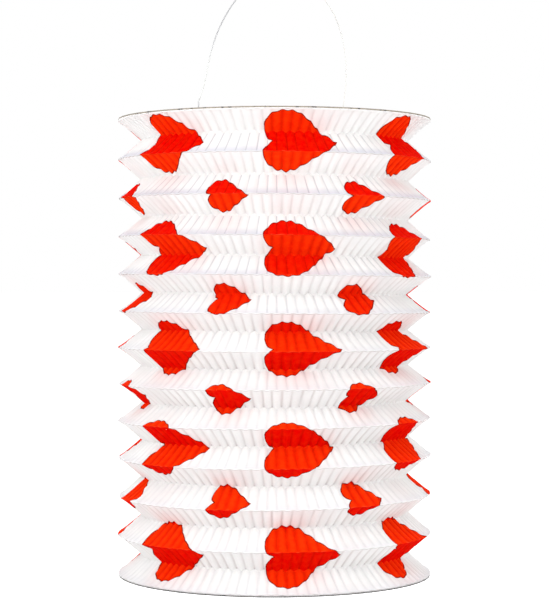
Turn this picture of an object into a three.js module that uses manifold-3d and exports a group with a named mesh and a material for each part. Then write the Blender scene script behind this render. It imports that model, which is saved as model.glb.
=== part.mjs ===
// Accordion paper lantern: a pleated paper sleeve hangs from a card ring and carries a card base.
// A wire handle is hooked through the ring, and a tin candle holder is clinched to the base.
//
// Millimetres, +Z up. The origin is the centre of the base's underside, the handle pivots about X,
// and the lantern is hung out, as it is when it is lit.

import * as THREE from 'three';
import { mergeVertices } from 'three/addons/utils/BufferGeometryUtils.js';
import Module from 'manifold-3d';

// Sleeve: one sheet folded into a bellows. Its ridges stand out and its valleys point to the axis.
const RIDGE_RADIUS = 80;
const VALLEY_RADIUS = 67.5;
const PLEAT_COUNT = 12;
const PLEAT_PITCH = 19.25;
const PAPER_ACROSS = 0.25; // the slanting paper's thickness, measured along the radius
const FLANGE_THICKNESS = 0.25; // the half panel glued to the card at each end
const FLANGE_INNER_RADIUS = 64.25;

// Card ring and base
const CARD_THICKNESS = 0.75;
const RING_INNER_RADIUS = 61.5;

// Wire handle, an arch whose hooked ends pass through slots in the ring
const WIRE_RADIUS = 0.3;
const HOLE_RADIUS = 66; // from the lantern's axis to the middle of each slot
const ARCH_RISE = 70.5; // from the ring's top to the middle of the wire at the crown
const HOOK_DROP = 3.6; // from the pivot to the tail under the ring
const HOOK_BEND = 1.2;
const HOOK_TAIL = 4.5;
const SLOT_HALF_WIDTH = 0.6;
const SLOT_HALF_LENGTH = 3.6; // lets the handle lean 75 degrees each way

// Candle holder, stamped from one strip of tin
const TIN = 0.25;
const SEAT_HALF_LENGTH = 17;
const SEAT_HALF_WIDTH = 6.75;
const PRONG_GAP = 6.5; // from the axis to a prong's inner face, for a 13 mm candle
const PRONG_HEIGHT = 9;
const PRONG_WIDTH = 4;
const PRONG_TIP_WIDTH = 1.5;
const TAB_WIDTH = 5;
const TAB_FOLD = 4; // the part of the tab that is folded flat under the base
const TAB_CLEARANCE = 0.25;
const CLINCH_DEPTH = 0.375; // how deep the folded tab is pressed into the card

// Facets
const ROUND_SEGMENTS = 48;
const ARCH_STEPS = 36;
const BEND_STEPS = 4;
const WIRE_SIDES = 8;
const SLOT_END_SEGMENTS = 6;

// Heights, from the underside of the base upward
const BASE_TOP = CARD_THICKNESS;
const SLEEVE_BOTTOM = BASE_TOP + FLANGE_THICKNESS;
const SLEEVE_TOP = SLEEVE_BOTTOM + PLEAT_COUNT * PLEAT_PITCH;
const RING_BOTTOM = SLEEVE_TOP + FLANGE_THICKNESS;
const RING_TOP = RING_BOTTOM + CARD_THICKNESS;
const PIVOT_HEIGHT = (SLEEVE_TOP + RING_TOP) / 2;

const wasm = await Module();
wasm.setup();

// Materials

function material(color, roughness, metalness) {
  return new THREE.MeshStandardMaterial({ color, roughness, metalness });
}

const whitePaper = () => material(0xf6f5f8, 0.85, 0);
const greyCard = () => material(0x9a8f86, 0.9, 0);
const tinplate = () => material(0xb9b7b0, 0.35, 1);
const steelWire = () => material(0x8f8f92, 0.35, 1);

// Shape helpers

function named(name, geometry, meshMaterial) {
  const mesh = new THREE.Mesh(geometry, meshMaterial);
  mesh.name = name;
  return mesh;
}

// A solid of revolution about Z. The profile's points are [radius, height] and close on themselves.
function turned(profile) {
  const points = [...profile, profile[0]].map(([radius, height]) => new THREE.Vector2(radius, height));
  return new THREE.LatheGeometry(points, ROUND_SEGMENTS).rotateX(Math.PI / 2);
}

// A flat sheet of the outline's shape, with its underside at the given height
function sheet(outline, bottom, thickness) {
  const geometry = new THREE.ExtrudeGeometry(outline, { depth: thickness, bevelEnabled: false });
  return geometry.translate(0, 0, bottom);
}

// A path's getPoints gives each arc twice as many segments as it is asked for
function circlePoints(radius, segments) {
  const path = new THREE.Path();
  path.absarc(0, 0, radius, 0, 2 * Math.PI, false);
  return path.getPoints(segments / 2);
}

function block([x0, x1], [y0, y1], [z0, z1]) {
  const geometry = new THREE.BoxGeometry(x1 - x0, y1 - y0, z1 - z0);
  return geometry.translate((x0 + x1) / 2, (y0 + y1) / 2, (z0 + z1) / 2);
}

function toManifold(geometry) {
  const bare = geometry.clone();
  bare.deleteAttribute('normal');
  bare.deleteAttribute('uv');
  const merged = mergeVertices(bare);
  return new wasm.Manifold(new wasm.Mesh({
    numProp: 3,
    vertProperties: merged.attributes.position.array,
    triVerts: Uint32Array.from(merged.index.array),
  }));
}

function fromManifold(solid) {
  const { vertProperties, triVerts } = solid.getMesh();
  const geometry = new THREE.BufferGeometry();
  geometry.setAttribute('position', new THREE.BufferAttribute(vertProperties, 3));
  geometry.setIndex(new THREE.BufferAttribute(triVerts, 1));
  const faceted = geometry.toNonIndexed();
  faceted.computeVertexNormals();
  return faceted;
}

function joined(...geometries) {
  return fromManifold(geometries.map(toManifold).reduce((whole, piece) => whole.add(piece)));
}

function cut(geometry, ...tools) {
  return fromManifold(tools.map(toManifold).reduce((whole, tool) => whole.subtract(tool), toManifold(geometry)));
}

// Ring and flanges

// A slot with round ends, long across the radius, so that the wire leg can lean either way in it
function slotPath(x) {
  const endCentre = SLOT_HALF_LENGTH - SLOT_HALF_WIDTH;
  const path = new THREE.Path();
  path.absarc(x, endCentre, SLOT_HALF_WIDTH, 0, Math.PI, false);
  path.absarc(x, -endCentre, SLOT_HALF_WIDTH, Math.PI, 2 * Math.PI, false);
  path.closePath();
  return path;
}

// A ring with the two handle slots. The slots' ends are small arcs with their own number of
// segments, so every outline is turned into points before it is extruded.
function slottedRing(innerRadius, bottom, thickness) {
  const outline = new THREE.Shape(circlePoints(RIDGE_RADIUS, ROUND_SEGMENTS));
  outline.holes.push(new THREE.Path(circlePoints(innerRadius, ROUND_SEGMENTS)));
  for (const x of [-HOLE_RADIUS, HOLE_RADIUS]) {
    outline.holes.push(new THREE.Path(slotPath(x).getPoints(SLOT_END_SEGMENTS / 2)));
  }
  return sheet(outline, bottom, thickness);
}

function plainRing(innerRadius, bottom, thickness) {
  return turned([
    [innerRadius, bottom],
    [RIDGE_RADIUS, bottom],
    [RIDGE_RADIUS, bottom + thickness],
    [innerRadius, bottom + thickness],
  ]);
}

// Sleeve

// One pleat runs from a ridge down to a valley and out to the next ridge. The paper's thickness
// lies inside the outer outline, so neighbours meet face to face in the plane of their ridge.
function pleat(number) {
  const top = SLEEVE_TOP - (number - 1) * PLEAT_PITCH;
  const valley = top - PLEAT_PITCH / 2;
  const bottom = top - PLEAT_PITCH;
  return turned([
    [RIDGE_RADIUS, bottom],
    [VALLEY_RADIUS, valley],
    [RIDGE_RADIUS, top],
    [RIDGE_RADIUS - PAPER_ACROSS, top],
    [VALLEY_RADIUS - PAPER_ACROSS, valley],
    [RIDGE_RADIUS - PAPER_ACROSS, bottom],
  ]);
}

// Base

// The base is a plain disc, slit for the holder's tabs and pressed in where they are folded flat
function baseDisc() {
  const disc = turned([[0, 0], [RIDGE_RADIUS, 0], [RIDGE_RADIUS, BASE_TOP], [0, BASE_TOP]]);
  const halfWidth = TAB_WIDTH / 2 + TAB_CLEARANCE;
  const slitInner = SEAT_HALF_LENGTH - TIN - TAB_CLEARANCE;
  const slitOuter = SEAT_HALF_LENGTH + TAB_CLEARANCE;
  const clinchOuter = SEAT_HALF_LENGTH - TIN + TAB_FOLD + TAB_CLEARANCE;
  const tools = [];
  for (const side of [-1, 1]) {
    const span = (from, to) => [side * from, side * to].sort((a, b) => a - b);
    tools.push(block(span(slitInner, slitOuter), [-halfWidth, halfWidth], [-1, BASE_TOP + 1]));
    tools.push(block(span(slitInner, clinchOuter), [-halfWidth, halfWidth], [-1, CLINCH_DEPTH]));
  }
  return cut(disc, ...tools);
}

// Candle holder

// A prong stands on its wide end and narrows to its tip. It is drawn in the XZ plane, facing Y.
function prong() {
  const outline = new THREE.Shape();
  const straight = PRONG_HEIGHT * 0.6;
  outline.moveTo(-PRONG_WIDTH / 2, 0);
  outline.lineTo(PRONG_WIDTH / 2, 0);
  outline.lineTo(PRONG_WIDTH / 2, straight);
  outline.lineTo(PRONG_TIP_WIDTH / 2, PRONG_HEIGHT);
  outline.lineTo(-PRONG_TIP_WIDTH / 2, PRONG_HEIGHT);
  outline.lineTo(-PRONG_WIDTH / 2, straight);
  outline.closePath();
  const geometry = new THREE.ExtrudeGeometry(outline, { depth: TIN, bevelEnabled: false });
  return geometry.rotateX(Math.PI / 2).translate(0, -PRONG_GAP, BASE_TOP);
}

// The seat lies on the base. Two prongs are folded up from its long edges, and two are lanced
// out of it, which leaves a window behind each. A tab at each end goes down through the base
// and is folded outward under it.
function candleHolder() {
  const seatHeights = [BASE_TOP, BASE_TOP + TIN];
  const pieces = [0, 1, 2, 3].map((quarter) => prong().rotateZ(quarter * Math.PI / 2));
  const windows = [];
  const footBottom = (CLINCH_DEPTH - TIN) / 2;
  for (const side of [-1, 1]) {
    const span = (from, to) => [side * from, side * to].sort((a, b) => a - b);
    const legSpan = span(SEAT_HALF_LENGTH - TIN, SEAT_HALF_LENGTH);
    const footSpan = span(SEAT_HALF_LENGTH - TIN, SEAT_HALF_LENGTH - TIN + TAB_FOLD);
    const tabSpan = [-TAB_WIDTH / 2, TAB_WIDTH / 2];
    pieces.push(block(legSpan, tabSpan, [footBottom, BASE_TOP + TIN]));
    pieces.push(block(footSpan, tabSpan, [footBottom, footBottom + TIN]));
    const windowSpan = span(PRONG_GAP + TIN, PRONG_GAP + PRONG_HEIGHT);
    windows.push(block(windowSpan, [-PRONG_WIDTH / 2, PRONG_WIDTH / 2], [BASE_TOP - 1, BASE_TOP + 1]));
  }
  const seat = block([-SEAT_HALF_LENGTH, SEAT_HALF_LENGTH], [-SEAT_HALF_WIDTH, SEAT_HALF_WIDTH], seatHeights);
  return joined(cut(seat, ...windows), ...pieces);
}

// Handle

// The middle of the wire in the XZ plane, as 2-D pieces with a number of steps each. A step here
// is a step of the curve's own parameter, so the small bends get as many facets as they need.
class WirePath extends THREE.Curve {
  constructor(pieces) {
    super();
    this.pieces = pieces;
    this.steps = pieces.reduce((sum, piece) => sum + piece.steps, 0);
  }

  getPoint(t) {
    let left = t * this.steps;
    for (const { curve, steps } of this.pieces.slice(0, -1)) {
      if (left < steps) return lifted(curve.getPoint(left / steps));
      left -= steps;
    }
    const last = this.pieces[this.pieces.length - 1];
    return lifted(last.curve.getPoint(Math.min(left / last.steps, 1)));
  }

  getUtoTmapping(u) {
    return u;
  }
}

function lifted(point) {
  return new THREE.Vector3(point.x, 0, point.y);
}

function arc(x, z, radius, fromDegrees, toDegrees) {
  const from = THREE.MathUtils.degToRad(fromDegrees);
  const to = THREE.MathUtils.degToRad(toDegrees);
  return new THREE.EllipseCurve(x, z, radius, radius, from, to, toDegrees < fromDegrees);
}

function line(x0, z0, x1, z1) {
  return new THREE.LineCurve(new THREE.Vector2(x0, z0), new THREE.Vector2(x1, z1));
}

// From the tail under the ring on the -X side, up the leg, over the arch and down to the other tail
function wireHandle() {
  const tail = PIVOT_HEIGHT - HOOK_DROP;
  const bendCentre = HOLE_RADIUS - HOOK_BEND;
  const bendTop = tail + HOOK_BEND;
  const archFoot = RING_TOP + ARCH_RISE - HOLE_RADIUS;
  const path = new WirePath([
    { curve: line(-bendCentre + HOOK_TAIL, tail, -bendCentre, tail), steps: 1 },
    { curve: arc(-bendCentre, bendTop, HOOK_BEND, 270, 180), steps: BEND_STEPS },
    { curve: line(-HOLE_RADIUS, bendTop, -HOLE_RADIUS, archFoot), steps: 1 },
    { curve: arc(0, archFoot, HOLE_RADIUS, 180, 0), steps: ARCH_STEPS },
    { curve: line(HOLE_RADIUS, archFoot, HOLE_RADIUS, bendTop), steps: 1 },
    { curve: arc(bendCentre, bendTop, HOOK_BEND, 0, -90), steps: BEND_STEPS },
    { curve: line(bendCentre, tail, bendCentre - HOOK_TAIL, tail), steps: 1 },
  ]);
  const section = new THREE.Shape(circlePoints(WIRE_RADIUS, WIRE_SIDES));
  return new THREE.ExtrudeGeometry(section, { steps: path.steps, extrudePath: path });
}

// The lantern

const lantern = new THREE.Group();
lantern.add(named('top_ring', slottedRing(RING_INNER_RADIUS, RING_BOTTOM, CARD_THICKNESS), greyCard()));
lantern.add(named('paper_top_flange', slottedRing(FLANGE_INNER_RADIUS, SLEEVE_TOP, FLANGE_THICKNESS), whitePaper()));
for (let number = 1; number <= PLEAT_COUNT; number += 1) {
  lantern.add(named(`pleat_${String(number).padStart(2, '0')}`, pleat(number), whitePaper()));
}
lantern.add(named('paper_bottom_flange', plainRing(FLANGE_INNER_RADIUS, BASE_TOP, FLANGE_THICKNESS), whitePaper()));
lantern.add(named('base_disc', baseDisc(), greyCard()));
lantern.add(named('candle_holder', candleHolder(), tinplate()));
lantern.add(named('wire_handle', wireHandle(), steelWire()));

export default lantern;
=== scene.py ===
import math

import bpy
import numpy as np
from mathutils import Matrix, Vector


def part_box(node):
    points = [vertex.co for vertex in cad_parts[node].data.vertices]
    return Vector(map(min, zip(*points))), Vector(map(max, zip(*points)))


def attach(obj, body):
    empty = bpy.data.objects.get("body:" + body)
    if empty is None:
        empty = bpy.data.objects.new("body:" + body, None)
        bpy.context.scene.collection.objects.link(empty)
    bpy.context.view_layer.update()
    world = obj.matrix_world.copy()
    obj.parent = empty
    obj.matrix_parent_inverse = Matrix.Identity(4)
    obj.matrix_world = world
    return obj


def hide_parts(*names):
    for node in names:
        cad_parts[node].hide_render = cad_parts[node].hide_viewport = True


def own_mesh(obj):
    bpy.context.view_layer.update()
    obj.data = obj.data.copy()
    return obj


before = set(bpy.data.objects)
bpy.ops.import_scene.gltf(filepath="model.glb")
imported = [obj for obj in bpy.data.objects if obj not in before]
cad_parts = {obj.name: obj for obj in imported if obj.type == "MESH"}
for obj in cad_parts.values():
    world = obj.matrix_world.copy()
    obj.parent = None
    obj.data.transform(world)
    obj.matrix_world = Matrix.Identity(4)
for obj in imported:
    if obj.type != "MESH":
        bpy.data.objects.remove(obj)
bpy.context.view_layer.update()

# An accordion paper lantern. The sleeve is one sheet of crimped paper, printed with hearts and folded
# into a bellows. It is made here as one piece per pleat, so that each pleat can ride on its own body.
# Lengths are metres unless a name says otherwise, and phi is the angle round the lantern's axis.

MM = 0.001

# ---- Sizes that the frame gives ----

def inner_radius(node):
    """The smallest distance of a CAD node's points from the lantern's axis"""
    return min(math.hypot(vertex.co.x, vertex.co.y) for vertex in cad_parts[node].data.vertices)


PLEATS = sorted(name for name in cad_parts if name.startswith("pleat_"))
SLEEVE_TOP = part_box(PLEATS[0])[1].z
SLEEVE_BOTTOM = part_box(PLEATS[-1])[0].z
SLEEVE_LENGTH = SLEEVE_TOP - SLEEVE_BOTTOM
PLEAT_PITCH = SLEEVE_LENGTH / len(PLEATS)
RIDGE_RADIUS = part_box(PLEATS[0])[1].x
PAPER_ACROSS = 0.25 * MM  # the slanting paper's thickness, measured along the radius
VALLEY_RADIUS = inner_radius(PLEATS[0]) + PAPER_ACROSS
FOLD_DEPTH = RIDGE_RADIUS - VALLEY_RADIUS
PANEL_LENGTH = math.hypot(FOLD_DEPTH, PLEAT_PITCH / 2)

# ---- The view and the way the sleeve hangs ----

VIEW_AZIMUTH = math.radians(-56)
VIEW_PHI = VIEW_AZIMUTH - math.pi / 2
VIEW_RIGHT_PHI = VIEW_AZIMUTH
EYE_DISTANCE = 1.0
EYE_HEIGHT = 148.6 * MM
EYE_PITCH = math.radians(-0.466)
LENS = 116.64

SAG = 2.1 * MM  # the end pleats hang wider open than the middle ones, so the ridges shift this much
SIDE_SAG = 0.8 * MM  # the shift is larger on the view's right side by this much, and smaller on its left

# ---- Crimped paper ----

RIB_COUNT = 98
RIB_PAPER = 5.16 * MM  # width of flat paper in each rib, measured round the sheet
FLAT_RADIUS = RIB_COUNT * RIB_PAPER / (2 * math.pi)
LIP_RADIUS = 0.16 * MM  # half the thickness of a ridge, where the fold is pressed flat
LIP_LENGTH = 2.0 * MM  # how far the pressed part reaches in from the ridge
LIP_CLOSENESS = 0.55  # how much less the paper opens there than further in
CRIMP_SHARE = 0.95  # how much of a rib's spare paper the crimp's height shows; the creases take the rest
VALLEY_ROUNDING = 0.5 * MM  # how far a valley's rounded fold stays out from the panels' meeting point
GROOVE_SOFTNESS = 0.10  # how blunt the grooves between the ribs are; 0 is a knife-sharp crease
VALLEY_TURNOVER = 1.5 * MM  # next to a valley, where grooves on one panel become crests on the next
RIDGE_FADE = 3.0 * MM  # next to a ridge, where the grooves open out into a soft wave
FOLD_REACH = 2.5 * MM  # next to a fold, where the crimp goes from square to its panel to straight up
HALF_RIB_STEPS = (0, 0.03, 0.09, 0.2, 0.3, 0.41, 0.47)  # the mesh's columns, in ribs from a crest
SEAM_GAP = 0.004 * MM  # between two pleats' pieces, so that they touch but never cut each other
GLUED_REACH = 3.0 * MM  # next to the ring and the base, where the crimp keeps to the sleeve's side
LAP_PHI = VIEW_PHI + math.radians(186.5)  # the glued edge of the sheet, at the back
LAP_WIDTH = 12 * MM
LAP_RISE = 0.22 * MM  # how far the outer end of the sheet stands off the inner one
LAP_RAMP = 2.0 * MM  # past the lap, where it comes back to its own place
PAPER_EDGE = 0.12 * MM  # width of the cut edges' faces

# ---- Print ----

HEART_COLUMNS = 7
HEART_ROW_PITCH = 5.2 * PANEL_LENGTH
BIG_HEART_ROW = 1.49 * PANEL_LENGTH  # from the sleeve's top edge to the middle of the first row
BIG_HEART_PHI = VIEW_PHI - math.radians(4.4)  # the lobes' outer edge; the tip points to larger phi
PRINT_SKEW = 0.0025  # how far the print drifts round the sheet, per length down it
PRINT_STEP = 0.22 * MM  # how far the crimp shifts the print up and down the sheet, from rib to rib
SMALL_HEART_LAG = math.radians(20.75)  # how far a small heart's lobes lie before the big heart's
SMALL_HEART_SCALE = 0.56
HEART_LOBE_RADIUS = 12.2 * MM
HEART_LOBE_OFFSET = 10.0 * MM
HEART_LENGTH = 40.0 * MM
OUTLINE_WANDER = 0.35 * MM
INK_SPREAD = 0.15 * MM  # how far the ink has spread past the drawn outline
INK_BLUR = 0.06 * MM
RED_REFLECTION_REACH = 13.0 * MM  # from a heart's outline, where the painted pink reflection of the hearts has faded out
RIM_WIDTH = 0.35 * MM  # of the dark rim, which has faded out at the next depth
RIM_FADES_AT = 0.75 * MM
# The ink's red in painted shade and in painted light; the ink's random mottle also moves it between these
# two
INK_SHADED_DEEP = (0.82, 0.0004, 0.0)
INK_LIT_THIN = (0.95, 0.048, 0.002)
INK_RIM = (0.15, 0.008, 0.003)
# The colour of the painted pink reflection of the hearts on the white paper
RED_REFLECTION_COLOUR = (0.92, 0.46, 0.38)

# ---- Painted shade and light on the paper, and the paper's own tones ----
# A strength that has two values is for the upper pleats and for the lower ones.

UPPER_PLEATS_END = 5 * PANEL_LENGTH
LOWER_PLEATS_START = 13 * PANEL_LENGTH
FACING_CHANGE = 0.2 * MM  # each side of a valley, where the painted shading goes from one panel's to the next one's
# The grooves, a line just under each ridge, the pits and the upward panels near a ridge are darkened with
# painted shade
GROOVE_CORE = 0.06 * MM  # half the width of a groove's darkest part
GROOVE_BAND = 1.15 * MM  # half the width of the soft band over a groove, on the panels that face down
GROOVE_LINE = 0.55 * MM  # the same on the upper panels that face up, where it is a thinner line
GROOVE_START = 0.1 * MM  # from a ridge, where the painted groove shade begins and where it is full
GROOVE_FULL = 1.4 * MM
GROOVE_FACING_DOWN = (0.18, 0.28)
GROOVE_FACING_UP = (0.46, 0.16)
RIB_START = 0.3 * MM  # from a groove, where the rounded rib begins and where it is full
RIB_FULL = 2.2 * MM
CREASE_START = 0.08 * MM  # below a ridge, where the crease's dark line of painted shadow begins, is full, fades and has ended
CREASE_FULL = 0.22 * MM
CREASE_FADES = 0.38 * MM
CREASE_END = 0.64 * MM
# A pit is a spot of painted shade where a groove meets a valley
PIT_WIDTH = 0.45 * MM
PIT_LENGTH = 0.75 * MM
PIT_RISE = 0.25 * MM  # of a pit's middle above the valley
PIT_STRENGTH = (0.1, 1.0)
SHADE_REACH = 7.0 * MM  # above a ridge, where the painted shade ends and where it is darkest
SHADE_FULL = 0.5 * MM
SHADE_STRENGTH = (0.48, 0.16)
PAPER_TONES = ((0.890, 0.890, 0.885), (0.918, 0.919, 0.913))
PAPER_SHADE = (0.58, 0.585, 0.68)


# ---- Node graphs written as expressions ----

class Graph:
    """A material's node tree. Inputs are sockets, numbers or colours."""

    def __init__(self, name):
        self.material = bpy.data.materials.new(name)
        self.material.use_nodes = True
        self.tree = self.material.node_tree
        self.tree.nodes.clear()

    def node(self, kind, inputs=(), **settings):
        made = self.tree.nodes.new(kind)
        for key, value in settings.items():
            setattr(made, key, value)
        for socket, value in dict(inputs).items():
            self.feed(made.inputs[socket], value)
        return made

    def feed(self, socket, value):
        if isinstance(value, bpy.types.NodeSocket):
            self.tree.links.new(value, socket)
        elif isinstance(value, (tuple, list)) and len(value) == 3 and socket.type == "RGBA":
            socket.default_value = (*value, 1)
        else:
            socket.default_value = value

    def math(self, operation, *values):
        return self.node("ShaderNodeMath", dict(enumerate(values)), operation=operation).outputs[0]

    def add(self, a, b):
        return self.math("ADD", a, b)

    def sub(self, a, b):
        return self.math("SUBTRACT", a, b)

    def mul(self, a, b):
        return self.math("MULTIPLY", a, b)

    def between(self, share, a, b):
        """a where share is 0, b where it is 1"""
        return self.add(a, self.mul(share, self.sub(b, a)))

    def wrap(self, value, period):
        """value modulo period, never negative"""
        return self.math("FLOORED_MODULO", value, period)

    def step(self, value, start, end):
        """0 at start, 1 at end, smooth between them and clamped"""
        inputs = {0: value, 1: start, 2: end, 3: 0.0, 4: 1.0}
        return self.node("ShaderNodeMapRange", inputs, interpolation_type="SMOOTHSTEP").outputs[0]

    def mix(self, factor, a, b):
        made = self.node("ShaderNodeMix", {0: factor, 6: a, 7: b}, data_type="RGBA")
        return made.outputs[2]

    def noise(self, vector, scale, detail=2.0, roughness=0.5):
        inputs = {"Vector": vector, "Scale": scale, "Detail": detail, "Roughness": roughness}
        return self.node("ShaderNodeTexNoise", inputs).outputs["Fac"]

    def vector(self, x, y, z=0.0):
        return self.node("ShaderNodeCombineXYZ", {0: x, 1: y, 2: z}).outputs[0]

    def bump(self, height, distance, strength=1.0):
        inputs = {"Height": height, "Distance": distance, "Strength": strength}
        return self.node("ShaderNodeBump", inputs).outputs[0]

    def surface(self, shader):
        output = self.node("ShaderNodeOutputMaterial")
        self.tree.links.new(shader, output.inputs["Surface"])
        return self.material


# ---- Materials ----

def heart_distance(g, along, across, scale):
    """Distance outside a heart's outline, negative inside. along is measured from the lobes' outer edge
    to the tip, and across from the heart's middle line."""
    radius = HEART_LOBE_RADIUS * scale
    centre = (radius, HEART_LOBE_OFFSET * scale)
    tip = HEART_LENGTH * scale
    reach = math.hypot(tip - centre[0], centre[1])
    slope = math.atan2(centre[1], tip - centre[0]) + math.asin(radius / reach)
    notch = radius - math.sqrt(radius ** 2 - centre[1] ** 2)
    dx = g.sub(along, centre[0])
    dy = g.sub(g.math("ABSOLUTE", across), centre[1])
    lobe = g.sub(g.math("SQRT", g.add(g.mul(dx, dx), g.mul(dy, dy))), radius)
    outward = g.add(g.mul(dx, math.sin(slope)), g.mul(dy, math.cos(slope)))
    forward = g.sub(g.mul(dx, math.cos(slope)), g.mul(dy, math.sin(slope)))
    flank = g.math("MAXIMUM", g.sub(outward, radius), g.mul(forward, -1.0))
    flank = g.math("MAXIMUM", flank, g.sub(notch, along))
    return g.math("MINIMUM", lobe, flank)


def heart_print(g, u, v):
    """Distance outside the nearest printed heart, on the flat sheet"""
    column = 2 * math.pi * FLAT_RADIUS / HEART_COLUMNS
    u = g.sub(u, g.mul(v, PRINT_SKEW))
    crest_share = g.math("COSINE", g.mul(u, 2 * math.pi / RIB_PAPER))
    v = g.add(v, g.mul(crest_share, PRINT_STEP))
    first = (BIG_HEART_PHI - LAP_PHI) * FLAT_RADIUS
    lag = SMALL_HEART_LAG * FLAT_RADIUS
    half_row = HEART_ROW_PITCH / 2
    big_along = g.wrap(g.sub(u, first), column)
    big_across = g.sub(g.wrap(g.sub(v, BIG_HEART_ROW - half_row), HEART_ROW_PITCH), half_row)
    small_along = g.wrap(g.sub(u, first - lag), column)
    small_across = g.sub(g.wrap(g.sub(v, BIG_HEART_ROW), HEART_ROW_PITCH), half_row)
    big = heart_distance(g, big_along, big_across, 1.0)
    small = heart_distance(g, small_along, small_across, SMALL_HEART_SCALE)
    sheet_end = 2 * len(PLEATS) * PANEL_LENGTH
    cut_row = g.sub(v, sheet_end - 0.5 * PANEL_LENGTH)
    return g.math("MINIMUM", big, g.math("MAXIMUM", small, cut_row))


def fold_places_and_shade(g, u, v, clouds):
    """Where a point lies in the folds, and the shade and highlights painted there, as shares from 0 to 1"""
    past_ridge = g.wrap(v, 2 * PANEL_LENGTH)
    from_ridge = g.math("PINGPONG", v, PANEL_LENGTH)
    faces_up = g.step(past_ridge, PANEL_LENGTH - FACING_CHANGE, PANEL_LENGTH + FACING_CHANGE)
    lower = g.step(v, UPPER_PLEATS_END, LOWER_PLEATS_START)

    from_crest = g.mul(g.math("PINGPONG", g.mul(u, 1 / RIB_PAPER), 0.5), RIB_PAPER)
    from_trough = g.sub(RIB_PAPER / 2, from_crest)
    from_groove = g.between(faces_up, from_crest, from_trough)
    line = g.between(lower, GROOVE_LINE, GROOVE_BAND)
    width = g.between(faces_up, GROOVE_BAND, line)
    # Painted shade along each groove, as a soft band or a thin line
    groove = g.mul(g.step(from_groove, width, GROOVE_CORE), g.step(from_ridge, GROOVE_START, GROOVE_FULL))
    groove = g.mul(groove, g.step(clouds, 0.15, 0.65))
    down_strength = g.between(lower, *GROOVE_FACING_DOWN)
    up_strength = g.between(lower, *GROOVE_FACING_UP)
    groove = g.mul(groove, g.between(faces_up, down_strength, up_strength))

    # A line of painted shadow just under each ridge
    below_start = g.step(past_ridge, CREASE_START, CREASE_FULL)
    crease = g.mul(below_start, g.step(past_ridge, CREASE_END, CREASE_FADES))
    crease = g.mul(crease, g.step(clouds, 0.2, 0.6))
    crease = g.mul(crease, g.step(v, 1 * MM, 3 * MM))  # none where the sheet meets the ring

    # Painted shade in a pit
    pit_u = g.mul(from_crest, 1 / PIT_WIDTH)
    pit_v = g.mul(g.sub(past_ridge, PANEL_LENGTH - PIT_RISE), 1 / PIT_LENGTH)
    pit = g.step(g.add(g.mul(pit_u, pit_u), g.mul(pit_v, pit_v)), 1.0, 0.1)
    pit = g.mul(pit, g.between(lower, *PIT_STRENGTH))

    # Painted shade near the ridges of the panels that face up
    shade = g.mul(faces_up, g.step(from_ridge, SHADE_REACH, SHADE_FULL))
    shade = g.mul(shade, g.between(lower, *SHADE_STRENGTH))
    # A ridge's very edge, where a highlight is painted on the ink
    upper_edge = g.step(past_ridge, 0.12 * MM, 0.04 * MM)
    lower_edge = g.step(past_ridge, 2 * PANEL_LENGTH - 0.3 * MM, 2 * PANEL_LENGTH)
    ridge_highlight = g.math("MAXIMUM", upper_edge, lower_edge)
    return {
        "faces_up": faces_up,
        "lower": lower,  # 0 on the upper pleats, 1 on the lower ones
        "rib": g.step(from_groove, RIB_START, RIB_FULL),  # 0 in a groove, 1 in the middle of a rib
        "shade": shade,
        "groove": groove,
        "crease": crease,  # the painted shadow line just under a ridge
        "pit": pit,  # painted shade where a groove meets a valley
        "ridge_highlight": ridge_highlight,  # a ridge's very edge, where a highlight is painted on the ink
    }


def printed_ink(g, sheet, u, v, mottle, folds_and_shade):
    """The ink's coverage and colour: red with painted light and shade, deeper in the grooves and on the
    panels that turn away from eye level, with a dark rim just inside each heart's outline. The third result
    is a painted pink reflection of the hearts on the paper round them, strongest in the grooves."""
    wander = g.mul(g.sub(g.noise(sheet, 700.0, 2.0), 0.5), OUTLINE_WANDER)
    outside = g.add(g.sub(heart_print(g, u, v), INK_SPREAD), wander)
    ink = g.step(outside, INK_BLUR, -INK_BLUR)
    rim = g.mul(ink, g.step(outside, -RIM_FADES_AT, -RIM_WIDTH))
    # Painted light: the ink is lighter where its panel turns to eye level and on the ribs' middles; a
    # random mottle also varies it
    to_eye = g.between(folds_and_shade["faces_up"], g.sub(1.0, folds_and_shade["lower"]), folds_and_shade["lower"])
    lit_and_thin = g.mul(to_eye, g.between(folds_and_shade["rib"], 0.38, 0.7))
    lit_and_thin = g.add(lit_and_thin, g.mul(g.step(mottle, 0.3, 0.7), 0.25))
    red = g.mix(g.mul(rim, 0.88), g.mix(lit_and_thin, INK_SHADED_DEEP, INK_LIT_THIN), INK_RIM)
    # A painted pink reflection of the hearts on the paper round them, strongest in the grooves
    red_reflection = g.mul(g.step(outside, RED_REFLECTION_REACH, 0.5 * MM), g.between(folds_and_shade["rib"], 1.0, 0.35))
    return ink, red, red_reflection


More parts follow.
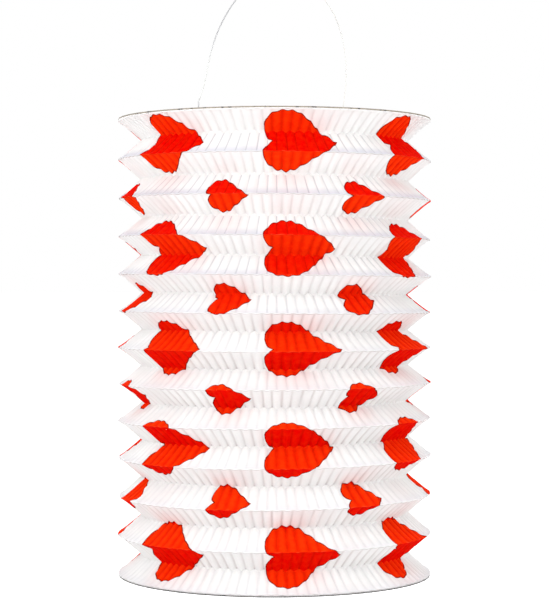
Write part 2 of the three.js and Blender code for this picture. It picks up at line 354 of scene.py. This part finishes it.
def paper_material(name, ink_strength, translucency):
    """Thin crepe paper, with the hearts' ink at full strength outside and shining through inside, and with
    light and shade painted into its colour
    """
    g = Graph(name)
    sheet = g.node("ShaderNodeUVMap", uv_map="sheet").outputs[0]
    parts = g.node("ShaderNodeSeparateXYZ", {0: sheet})
    u, v = parts.outputs[0], parts.outputs[1]
    grain = g.noise(sheet, 1400.0, 3.0, 0.6)
    fibres = g.noise(g.vector(g.mul(u, 260.0), g.mul(v, 1500.0)), 1.0, 3.0, 0.65)
    clouds = g.noise(sheet, 60.0, 2.0)
    mottle = g.noise(sheet, 300.0, 3.0, 0.6)
    folds_and_shade = fold_places_and_shade(g, u, v, clouds)
    groove, crease, pit = folds_and_shade["groove"], folds_and_shade["crease"], folds_and_shade["pit"]
    ink, red, red_reflection = printed_ink(g, sheet, u, v, mottle, folds_and_shade)

    paper = g.mix(g.step(clouds, 0.35, 0.65), *PAPER_TONES)
    paper = g.mix(g.mul(g.step(fibres, 0.55, 0.8), 0.25), paper, (0.80, 0.80, 0.815))
    # Painted shade near the ridges of the panels that face up
    paper = g.mix(folds_and_shade["shade"], paper, PAPER_SHADE)
    # Painted pink reflection of the hearts
    paper = g.mix(g.mul(red_reflection, 0.05), paper, RED_REFLECTION_COLOUR)
    # Painted shade in the grooves, cooler on the panels that face up and warmer on those that face down
    groove_colour = g.mix(folds_and_shade["faces_up"], (0.46, 0.385, 0.37), (0.40, 0.40, 0.46))
    paper = g.mix(groove, paper, groove_colour)
    # Painted shadow under each ridge
    paper = g.mix(g.mul(crease, 0.75), paper, (0.36, 0.315, 0.29))
    # Painted shade in the pits
    paper = g.mix(g.mul(pit, 0.28), paper, (0.25, 0.22, 0.205))

    # Painted shade in the grooves, on the ink
    red = g.mix(groove, red, (0.42, 0.004, 0.0))
    # Painted shadow under the ridges and painted shade in the pits, on the ink
    red = g.mix(g.mul(g.math("MAXIMUM", crease, pit), 0.5), red, (0.40, 0.016, 0.004))
    # Painted highlight on the ink along a ridge's very edge
    red = g.mix(g.mul(g.mul(folds_and_shade["ridge_highlight"], g.step(mottle, 0.45, 0.65)), 0.3), red, (0.95, 0.20, 0.08))

    specks = g.node("ShaderNodeTexVoronoi", {"Vector": sheet, "Scale": 62.0}).outputs["Distance"]
    speck = g.step(specks, 0.020, 0.010)
    red = g.mix(g.mul(speck, 0.8), red, (0.92, 0.62, 0.55))
    paper = g.mix(g.mul(speck, 0.35), paper, (0.52, 0.50, 0.50))
    colour = g.mix(g.mul(ink, ink_strength), paper, red)

    height = g.add(g.mul(grain, 0.5), g.mul(fibres, 0.5))
    normal = g.bump(height, 0.03 * MM, 0.6)
    face = g.node("ShaderNodeBsdfPrincipled", {
        "Base Color": colour,
        "Roughness": g.add(0.62, g.mul(grain, 0.25)),
        "Normal": normal,
        "Specular IOR Level": g.sub(0.2, g.mul(ink, 0.19)),
    }).outputs[0]
    through = g.node("ShaderNodeBsdfTranslucent", {"Color": colour, "Normal": normal}).outputs[0]
    both = g.node("ShaderNodeMixShader", {0: translucency, 1: face, 2: through}).outputs[0]
    return g.surface(both)


def flange_material():
    """The sheet's plain end, glued flat to the card, with its crimps pressed to fine radial creases and
    painted shade along them
    """
    g = Graph("flange_paper")
    place = g.node("ShaderNodeTexCoord").outputs["Object"]
    parts = g.node("ShaderNodeSeparateXYZ", {0: place})
    turn = g.math("ARCTAN2", parts.outputs[1], parts.outputs[0])
    ribs = g.math("PINGPONG", g.mul(turn, RIB_COUNT / math.pi), 1.0)
    fibres = g.noise(place, 1500.0, 3.0, 0.65)
    colour = g.mix(g.step(fibres, 0.4, 0.7), (0.885, 0.882, 0.888), (0.82, 0.815, 0.82))
    # Painted shade along the creases
    colour = g.mix(g.mul(g.step(ribs, 0.12, 0.0), 0.4), colour, (0.68, 0.67, 0.68))
    shader = g.node("ShaderNodeBsdfPrincipled", {
        "Base Color": colour,
        "Roughness": g.add(0.7, g.mul(fibres, 0.2)),
        "Normal": g.bump(g.add(ribs, g.mul(fibres, 0.2)), 0.12 * MM, 0.8),
        "Specular IOR Level": 0.2,
    }).outputs[0]
    return g.surface(shader)


def card_material(name, liner, core):
    """Greyboard: a smoother liner on the faces, and a fibrous darker core at the cut edges"""
    g = Graph(name)
    place = g.node("ShaderNodeTexCoord").outputs["Object"]
    normal = g.node("ShaderNodeNewGeometry").outputs["Normal"]
    upright = g.math("ABSOLUTE", g.node("ShaderNodeSeparateXYZ", {0: normal}).outputs[2])
    edge = g.step(upright, 0.7, 0.4)
    fibres = g.noise(place, 1800.0, 4.0, 0.7)
    flecks = g.noise(place, 420.0, 3.0, 0.6)
    face = g.mix(g.step(flecks, 0.42, 0.62), liner, tuple(0.9 * c for c in liner))
    face = g.mix(g.mul(g.step(fibres, 0.62, 0.72), 0.45), face, core)
    cut = g.mix(g.step(fibres, 0.35, 0.65), core, tuple(1.6 * c for c in core))
    cut = g.mix(g.step(flecks, 0.56, 0.64), cut, tuple(0.25 * c for c in core))
    colour = g.mix(edge, face, cut)
    shader = g.node("ShaderNodeBsdfPrincipled", {
        "Base Color": colour,
        "Roughness": g.add(0.72, g.mul(flecks, 0.2)),
        "Normal": g.bump(g.add(fibres, g.mul(flecks, 0.6)), 0.06 * MM, 0.7),
        "Specular IOR Level": 0.3,
    }).outputs[0]
    return g.surface(shader)


def tinplate_material():
    """Rolled tinplate: streaks along X and a dull bloom in places"""
    g = Graph("tinplate")
    place = g.node("ShaderNodeTexCoord").outputs["Object"]
    parts = g.node("ShaderNodeSeparateXYZ", {0: place})
    stretched = g.vector(
        g.mul(parts.outputs[0], 156.0),
        g.mul(parts.outputs[1], 2600.0),
        g.mul(parts.outputs[2], 2600.0),
    )
    streaks = g.noise(stretched, 1.0, 3.0, 0.6)
    bloom = g.noise(place, 160.0, 3.0, 0.6)
    tone = g.mix(g.step(bloom, 0.4, 0.7), (0.71, 0.70, 0.67), (0.52, 0.51, 0.49))
    rough = g.add(g.add(0.24, g.mul(bloom, 0.16)), g.mul(streaks, 0.12))
    shader = g.node("ShaderNodeBsdfPrincipled", {
        "Base Color": tone,
        "Metallic": 1.0,
        "Roughness": rough,
        "Normal": g.bump(streaks, 0.01 * MM, 0.6),
    }).outputs[0]
    return g.surface(shader)


def wire_material():
    """Steel wire: bare, and paler, duller and less metallic along one leg and part of the other"""
    g = Graph("steel_wire")
    place = g.node("ShaderNodeTexCoord").outputs["Object"]
    parts = g.node("ShaderNodeSeparateXYZ", {0: place})
    x, z = parts.outputs[0], parts.outputs[2]
    rise = g.sub(z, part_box("top_ring")[1].z)
    right_leg = g.step(x, -20 * MM, 25 * MM)
    left_leg = g.mul(g.step(rise, 2 * MM, 9 * MM), g.step(rise, 36 * MM, 20 * MM))
    patches = g.noise(place, 90.0, 3.0, 0.6)
    # The paler, duller, less metallic patches along the legs
    bloom = g.math("MAXIMUM", right_leg, g.mul(left_leg, 0.62))
    bloom = g.mul(bloom, g.between(g.step(patches, 0.35, 0.65), 0.8, 1.0))
    scratches = g.noise(place, 3200.0, 3.0, 0.6)
    tone = g.mix(bloom, (0.40, 0.40, 0.41), (0.82, 0.835, 0.80))
    shader = g.node("ShaderNodeBsdfPrincipled", {
        "Base Color": tone,
        "Metallic": g.between(bloom, 1.0, 0.15),
        "Roughness": g.add(g.between(bloom, 0.34, 0.6), g.mul(scratches, 0.15)),
        "Normal": g.bump(scratches, 0.01 * MM, 0.6),
    }).outputs[0]
    return g.surface(shader)


printed_paper = paper_material("printed_paper_outside", 1.0, 0.42)
paper_inside = paper_material("printed_paper_inside", 0.42, 0.42)
flange_paper = flange_material()
ring_card = card_material("ring_card", (0.56, 0.545, 0.52), (0.19, 0.165, 0.135))
base_card = card_material("base_card", (0.55, 0.54, 0.53), (0.10, 0.095, 0.095))
tinplate = tinplate_material()
steel_wire = wire_material()


# ---- The folded sheet ----

def fold_profile():
    """One panel from its ridge to its valley: depth from the ridge, height and length along the paper"""
    tip = LIP_RADIUS * (1 - np.cos(np.linspace(0, math.pi / 2, 4)))
    inward = MM * np.array([0.45, 0.85, 1.5, 3, 6, 9])
    near_valley = FOLD_DEPTH - MM * np.array([1.8, 1.0, 0.55, 0.25, 0])
    depth = np.concatenate([tip, inward, near_valley])
    opening = depth - LIP_CLOSENESS * LIP_LENGTH * (1 - np.exp(-depth / LIP_LENGTH))
    round_tip = LIP_RADIUS * np.sqrt(1 - (1 - np.minimum(depth / LIP_RADIUS, 1)) ** 2)
    height = round_tip + (PLEAT_PITCH / 2 - LIP_RADIUS) * opening / opening[-1]
    depth = FOLD_DEPTH - np.hypot(FOLD_DEPTH - depth, VALLEY_ROUNDING * depth / FOLD_DEPTH)
    length = np.concatenate([[0], np.cumsum(np.hypot(np.diff(depth), np.diff(height)))])
    return depth, height, length * PANEL_LENGTH / length[-1]


def rib_columns():
    """Angles of the mesh's columns, from the lap's edge once round, and each one's place in its rib"""
    half = np.array(HALF_RIB_STEPS)
    place = (np.arange(RIB_COUNT)[:, None] + np.concatenate([half, half + 0.5])[None, :]).ravel()
    turn = place * 2 * math.pi / RIB_COUNT
    unevenness = 0.035 * np.sin(7 * turn + 1) + 0.03 * np.sin(17 * turn + 2) + 0.03 * np.sin(41 * turn)
    phi = (place + unevenness) * 2 * math.pi / RIB_COUNT
    lap = np.array([0, LAP_WIDTH, LAP_WIDTH + PAPER_EDGE, LAP_WIDTH + LAP_RAMP]) / RIDGE_RADIUS
    last = 2 * math.pi - PAPER_EDGE / RIDGE_RADIUS
    phi_all = np.unique(np.concatenate([phi[(phi > 0) & (phi < last)], lap, [last]]))
    keep = np.concatenate([[True], np.diff(phi_all) > 1e-5])
    phi_all = phi_all[keep]
    full_phi = np.concatenate([phi - 2 * math.pi, phi, phi + 2 * math.pi])
    full_place = np.concatenate([place - RIB_COUNT, place, place + RIB_COUNT])
    return phi_all, np.interp(phi_all, full_phi, full_place)


def soft_absolute(value):
    return np.sqrt(value ** 2 + GROOVE_SOFTNESS ** 2)


def rib_wave(place, upward, soft):
    """The crimp, from -1 to 1. Seen from outside, each panel has full ribs and narrow grooves between them,
    so the grooves are the wave's troughs where a panel faces up and its crests where it faces down."""
    full_crests = 2 * soft_absolute(np.cos(math.pi * place)) - 1
    full_troughs = 1 - 2 * soft_absolute(np.sin(math.pi * place))
    grooved = upward * full_crests + (1 - upward) * full_troughs
    turn = place * 2 * math.pi / RIB_COUNT
    depth = 1 + 0.10 * np.sin(37 * turn) + 0.07 * np.sin(61 * turn + 1)
    return depth * (soft * np.cos(2 * math.pi * place) + (1 - soft) * grooved)


def rib_height(radius):
    """Half the crimp's height: the flat paper in a rib is wider than the rib, and the folds take it up"""
    width = 2 * math.pi * radius / RIB_COUNT
    return CRIMP_SHARE * np.sqrt(np.maximum(RIB_PAPER ** 2 - width ** 2, 0)) / 4


def lap_rise_outside(around):
    """Where the sheet's outer end lies over the inner one, by distance round from the lap's edge"""
    over = np.interp(around, [LAP_WIDTH, LAP_WIDTH + LAP_RAMP], [LAP_RISE, 0])
    return over * (around < 2 * math.pi * RIDGE_RADIUS - PAPER_EDGE / 2)


def lap_rise_inside(around):
    """Just past the inner end the outer end comes down to its own place"""
    down = np.interp(around, [LAP_WIDTH + PAPER_EDGE, LAP_WIDTH + LAP_RAMP], [LAP_RISE, 0])
    return down * (around > LAP_WIDTH + PAPER_EDGE / 2)


column_phi, column_place = rib_columns()
column_around = column_phi * RIDGE_RADIUS
panel_depth, panel_height, panel_length = fold_profile()


def hung(height, phi):
    """How far a point of the sleeve hangs from its even place"""
    share = (SLEEVE_TOP - height) / SLEEVE_LENGTH
    amount = SAG + SIDE_SAG * np.cos(phi - VIEW_RIGHT_PHI)
    return -np.sin(2 * math.pi * share) * amount


def wobble(height, phi):
    """Slow hand-made unevenness of the folds' radius, none at the glued ends"""
    share = (SLEEVE_TOP - height) / SLEEVE_LENGTH
    free = np.minimum(1, np.sin(math.pi * np.clip(share, 0, 1)) * 4)
    return free * MM * (0.22 * np.sin(2 * phi + 31 * share) + 0.18 * np.sin(3 * phi - 47 * share + 1))


def closed_sheet(name, outer, inner, sheet_v):
    """A thin closed shell between two grids of points, rows from the top and columns round the axis. Its
    UV map is the place on the flat sheet, in metres."""
    rows, columns = outer.shape[:2]
    count = rows * columns
    row = np.arange(rows - 1)[:, None]
    column = np.arange(columns)[None, :]
    following = (column + 1) % columns
    upper_left = row * columns + column
    upper_right = row * columns + following
    lower_left = upper_left + columns
    lower_right = upper_right + columns
    outside = np.stack([upper_left, lower_left, lower_right, upper_right], -1).reshape(-1, 4)
    inside = np.stack([upper_left, upper_right, lower_right, lower_left], -1).reshape(-1, 4) + count
    first, second = column[0], following[0]
    last_row = (rows - 1) * columns
    top = np.stack([first, second, second + count, first + count], -1)
    bottom = np.stack([first, first + count, second + count, second], -1) + last_row
    faces = np.concatenate([outside, inside, top, bottom])

    sheet_u = column_place * RIB_PAPER
    next_u = np.append(sheet_u[1:], sheet_u[0] + RIB_COUNT * RIB_PAPER)
    left_u = np.broadcast_to(sheet_u[None, :], (rows - 1, columns))
    right_u = np.broadcast_to(next_u[None, :], (rows - 1, columns))
    upper_v = np.broadcast_to(sheet_v[:-1, None], (rows - 1, columns))
    lower_v = np.broadcast_to(sheet_v[1:, None], (rows - 1, columns))
    outside_uv = np.stack([left_u, upper_v, left_u, lower_v, right_u, lower_v, right_u, upper_v], -1)
    inside_uv = np.stack([left_u, upper_v, right_u, upper_v, right_u, lower_v, left_u, lower_v], -1)
    left, right = left_u[0], right_u[0]
    ends = []
    for v in (sheet_v[0], sheet_v[-1]):
        edge_v = np.full(columns, v)
        ends.append(np.stack([left, edge_v, right, edge_v, right, edge_v, left, edge_v], -1))
    uv = np.concatenate([part.reshape(-1) for part in (outside_uv, inside_uv, *ends)])

    mesh = bpy.data.meshes.new(name)
    points = np.concatenate([outer.reshape(-1, 3), inner.reshape(-1, 3)])
    mesh.from_pydata(points, [], faces)
    mesh.uv_layers.new(name="sheet").data.foreach_set("uv", uv.astype(np.float32))
    flat = np.zeros(len(faces), bool)
    flat[len(outside) + len(inside):] = True
    mesh.attributes.new("sharp_face", "BOOLEAN", "FACE").data.foreach_set("value", flat)
    slots = np.zeros(len(faces), np.int32)
    slots[len(outside):len(outside) + len(inside)] = 1
    mesh.materials.append(printed_paper)
    mesh.materials.append(paper_inside)
    mesh.polygons.foreach_set("material_index", slots)
    mesh.update()
    piece = bpy.data.objects.new(name, mesh)
    bpy.context.scene.collection.objects.link(piece)
    return piece


def pleat_rows(number):
    """A pleat's rows, from its upper ridge to its lower: radius, height, length down the sheet, how much
    each faces up, how soft its crimp is and which way the crimp leans, from -1 inwards to 1 outwards"""
    top = SLEEVE_TOP - number * PLEAT_PITCH
    radius = RIDGE_RADIUS - np.concatenate([panel_depth, panel_depth[-2::-1]])
    height = np.concatenate([top - panel_height, top - PLEAT_PITCH + panel_height[-2::-1]])
    length = np.concatenate([panel_length, 2 * PANEL_LENGTH - panel_length[-2::-1]])
    upward = 0.5 + 0.5 * np.clip((length - PANEL_LENGTH) / VALLEY_TURNOVER, -1, 1)
    from_ridge = np.minimum(length, 2 * PANEL_LENGTH - length)
    soft = np.clip(1 - from_ridge / RIDGE_FADE, 0, 1)
    inside_panel = np.clip(np.minimum(from_ridge, PANEL_LENGTH - from_ridge) / FOLD_REACH, 0, 1)
    lean = inside_panel * np.sign(length - PANEL_LENGTH)
    return radius, height, length + 2 * number * PANEL_LENGTH, upward, soft, lean


def make_pleat(number, node):
    radius, height, sheet_v, upward, soft, lean = pleat_rows(number)
    phi = (LAP_PHI + column_phi)[None, :]
    wave = rib_wave(column_place[None, :], upward[:, None], soft[:, None])
    crimp = rib_height(radius)[:, None] * wave
    near_end = np.minimum(SLEEVE_TOP - height, height - SLEEVE_BOTTOM)[:, None]
    glued = np.clip(1 - near_end / GLUED_REACH, 0, 1)
    towards_middle = np.where(height > (SLEEVE_TOP + SLEEVE_BOTTOM) / 2, -1, 1)[:, None]
    crimp = crimp + glued * towards_middle * 1.2 * rib_height(RIDGE_RADIUS)
    outward = lean[:, None] / 2
    middle = SLEEVE_TOP - (number + 0.5) * PLEAT_PITCH
    even = middle + (height[:, None] - middle) * (1 - SEAM_GAP / PLEAT_PITCH)
    z = even + hung(height[:, None], phi) + crimp * (1 - np.abs(outward))
    body_radius = radius[:, None] + wobble(height[:, None], phi) + crimp * outward

    def surface(shift):
        r = body_radius + shift
        return np.stack([r * np.cos(phi), r * np.sin(phi), z], -1)

    outer = surface(lap_rise_outside(column_around)[None, :])
    inner = surface(lap_rise_inside(column_around)[None, :] - PAPER_ACROSS)
    piece = closed_sheet(f"paper_{node}", outer, inner, sheet_v)
    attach(piece, f"fold_{number + 1:02d}")
    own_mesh(piece)
    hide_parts(node)


for number, node in enumerate(PLEATS):
    make_pleat(number, node)


# ---- The sheet's lower end, glued flat on the base ----

SCALLOP = 0.35 * MM  # pressing the crimps flat leaves a scalloped inner edge
PRESSED_CRIMP = 0.06 * MM  # what is left of the crimps' height


def make_bottom_flange(node):
    low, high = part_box(node)
    share = np.linspace(0, 1, 9)[:, None]
    phi = (LAP_PHI + column_phi)[None, :]
    wave = rib_wave(column_place, 0.5, 1)[None, :]
    glued_from = inner_radius(node)
    trimmed = glued_from + SCALLOP * wave
    radius = trimmed + (RIDGE_RADIUS - trimmed) * share
    pressed = PRESSED_CRIMP * wave * (1 - 0.6 * share)

    def surface(height):
        return np.stack([radius * np.cos(phi), radius * np.sin(phi), height + 0 * radius], -1)

    upper = surface(high.z - PRESSED_CRIMP - 0.01 * MM + pressed)
    lower = surface(low.z)
    sheet_v = 2 * len(PLEATS) * PANEL_LENGTH + (RIDGE_RADIUS - glued_from) * (1 - share[:, 0])
    piece = closed_sheet("paper_flange_bottom", upper, lower, sheet_v)
    piece.data.materials[0] = paper_inside
    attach(piece, "base")
    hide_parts(node)


make_bottom_flange("paper_bottom_flange")


# ---- Wire handle ----

ARCH_FULLNESS = 2.4  # 2 would be a plain ellipse
ARCH_FOOT = 4.5 * MM  # above the ring; up to there the wire is straight, so that it can lean in its slot
HOOK_BEND = 1.2 * MM
HOOK_TAIL = 4.5 * MM
WIRE_SIDES = 12
HAND_BEND = 0.5 * MM
ARCH_OFFSET = 1.4 * MM  # the arch stands this far off the hooks' plane, and leans further off it
ARCH_LEAN = 0.145
PINCH = 2.2 * MM  # how far the legs are bent in, at most, and how far up that is
PINCH_HEIGHT = 18 * MM


def hook_points(hole, tail_height):
    """One hooked end, from the tail's tip under the ring to the top of its bend"""
    centre = hole - HOOK_BEND
    bend = [math.radians(a) for a in range(-90, 1, 15)]
    points = [(centre - HOOK_TAIL, tail_height)]
    for turn in bend:
        points.append((centre + HOOK_BEND * math.cos(turn), tail_height + HOOK_BEND * (1 + math.sin(turn))))
    return points


def arch_points(hole, foot, top):
    """Half the arch, from its foot to its crown"""
    points = []
    for turn in np.linspace(0, math.pi / 2, 28)[:-1]:
        across = hole * math.cos(turn) ** (2 / ARCH_FULLNESS)
        points.append((across, foot + (top - foot) * math.sin(turn) ** (2 / ARCH_FULLNESS)))
    return points


def swept_tube(name, path, radius, sides):
    """A closed round bar along a path of points"""
    path = np.array(path)
    along = np.gradient(path, axis=0)
    along /= np.linalg.norm(along, axis=1)[:, None]
    side = np.cross(along, (0, 1, 0))
    side /= np.linalg.norm(side, axis=1)[:, None]
    other = np.cross(side, along)
    turn = np.arange(sides) * 2 * math.pi / sides
    ring = side[:, None] * np.cos(turn)[None, :, None] + other[:, None] * np.sin(turn)[None, :, None]
    points = (path[:, None] + radius * ring).reshape(-1, 3)
    faces = []
    for start in range(0, (len(path) - 1) * sides, sides):
        end = start + sides
        for j in range(sides):
            following = (j + 1) % sides
            faces.append((start + j, start + following, end + following, end + j))
    faces.append(tuple(range(sides))[::-1])
    faces.append(tuple(range(len(points) - sides, len(points))))
    mesh = bpy.data.meshes.new(name)
    mesh.from_pydata(points, [], faces)
    mesh.shade_smooth()
    piece = bpy.data.objects.new(name, mesh)
    bpy.context.scene.collection.objects.link(piece)
    return piece


def make_wire(node):
    low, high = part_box(node)
    radius = high.y
    hole = high.x - radius
    ring_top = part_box("top_ring")[1].z
    half = hook_points(hole, low.z + radius) + arch_points(hole, ring_top + ARCH_FOOT, high.z - radius)
    crown = [(0.0, high.z - radius)]
    outline = half + crown + [(-x, z) for x, z in reversed(half)]
    path = []
    for x, z in outline:
        rise = z - ring_top
        free = max(0, rise - ARCH_FOOT)
        bent = HAND_BEND * math.sin(rise / (9 * MM) + x / (40 * MM)) * min(1, free / (20 * MM))
        lean = ARCH_LEAN * free + ARCH_OFFSET * (1 - math.exp(-free / (12 * MM)))
        pinch = PINCH * free / PINCH_HEIGHT * math.exp(1 - free / PINCH_HEIGHT)
        path.append((x * (1 - pinch / hole), bent - lean, z))
    piece = swept_tube("bent_wire_handle", path, radius, WIRE_SIDES)
    piece.data.materials.append(steel_wire)
    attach(piece, "handle")
    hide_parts(node)


make_wire("wire_handle")


# ---- CAD pieces that keep their shape ----

def finish_cad(node, material):
    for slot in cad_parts[node].material_slots:
        slot.link = "OBJECT"
        slot.material = material


finish_cad("top_ring", ring_card)
finish_cad("base_disc", base_card)
finish_cad("paper_top_flange", flange_paper)
finish_cad("candle_holder", tinplate)


# ---- Stage ----

FLOOR_HEIGHT = -0.28
FLOOR_RADIUS = 90.0
SOFTBOXES = (
    # name, degrees to the right of the view, degrees up, distance, size, watts
    ("low_left", -34, 2, 0.62, 0.36, 2.0),
    ("low_right", 44, 1, 0.72, 0.45, 2.2),
    ("high_left", -26, 35, 1.2, 0.7, 6.6),
    ("high_right", 34, 33, 1.4, 0.8, 4.0),
    ("side_left", -100, 6, 1.2, 1.0, 5.2),
    ("side_right", 100, 6, 1.2, 1.0, 5.9),
    ("overhead", 0, 84, 1.3, 1.0, 8),
    ("back_left", -148, 20, 1.6, 1.2, 8),
    ("back_right", 148, 20, 1.6, 1.2, 8),
)


def make_floor():
    """A pale floor well below the lantern, which hangs. To the camera it is as white as the world."""
    place = (0, 0, FLOOR_HEIGHT)
    bpy.ops.mesh.primitive_circle_add(vertices=96, radius=FLOOR_RADIUS, fill_type="NGON", location=place)
    floor = bpy.context.object
    floor.name = "floor"
    g = Graph("pale_floor")
    diffuse = g.node("ShaderNodeBsdfDiffuse", {"Color": (0.86, 0.86, 0.865)}).outputs[0]
    seen = g.node("ShaderNodeLightPath").outputs["Is Camera Ray"]
    glow = g.node("ShaderNodeEmission", {"Color": (1, 1, 1), "Strength": seen}).outputs[0]
    both = g.node("ShaderNodeAddShader", {0: diffuse, 1: glow}).outputs[0]
    floor.data.materials.append(g.surface(both))


def make_world():
    """White to the camera, and a softer, slightly cool light on the lantern"""
    world = bpy.data.worlds.new("studio")
    bpy.context.scene.world = world
    world.use_nodes = True
    nodes, links = world.node_tree.nodes, world.node_tree.links
    nodes.clear()
    seen = nodes.new("ShaderNodeBackground")
    seen.inputs["Color"].default_value = (1, 1, 1, 1)
    light = nodes.new("ShaderNodeBackground")
    light.inputs["Color"].default_value = (0.972, 0.975, 0.978, 1)
    light.inputs["Strength"].default_value = 0.32
    path = nodes.new("ShaderNodeLightPath")
    mix = nodes.new("ShaderNodeMixShader")
    output = nodes.new("ShaderNodeOutputWorld")
    links.new(path.outputs["Is Camera Ray"], mix.inputs[0])
    links.new(light.outputs[0], mix.inputs[1])
    links.new(seen.outputs[0], mix.inputs[2])
    links.new(mix.outputs[0], output.inputs["Surface"])


def make_softbox(name, turn, elevation, distance, size, power):
    """A square area light that faces the lantern's middle"""
    lamp = bpy.data.lights.new(name, "AREA")
    lamp.size = size
    lamp.energy = power
    holder = bpy.data.objects.new(name, lamp)
    phi = VIEW_PHI + math.radians(turn)
    rise = math.radians(elevation)
    middle = np.array([0, 0, (SLEEVE_TOP + SLEEVE_BOTTOM) / 2])
    away = np.array([math.cos(phi) * math.cos(rise), math.sin(phi) * math.cos(rise), math.sin(rise)])
    holder.location = middle + distance * away
    holder.rotation_mode = "QUATERNION"
    holder.rotation_quaternion = Vector(away).to_track_quat("Z", "Y")
    holder.visible_camera = False
    bpy.context.scene.collection.objects.link(holder)


def make_camera():
    camera = bpy.data.cameras.new("camera")
    camera.lens = LENS
    holder = bpy.data.objects.new("camera", camera)
    back = (math.sin(VIEW_AZIMUTH), -math.cos(VIEW_AZIMUTH))
    holder.location = (EYE_DISTANCE * back[0], EYE_DISTANCE * back[1], EYE_HEIGHT)
    holder.rotation_euler = (math.pi / 2 + EYE_PITCH, 0, VIEW_AZIMUTH)
    bpy.context.scene.collection.objects.link(holder)
    bpy.context.scene.camera = holder


make_floor()
make_world()
for softbox in SOFTBOXES:
    make_softbox(*softbox)
make_camera()
bpy.context.scene.view_settings.view_transform = "Standard"
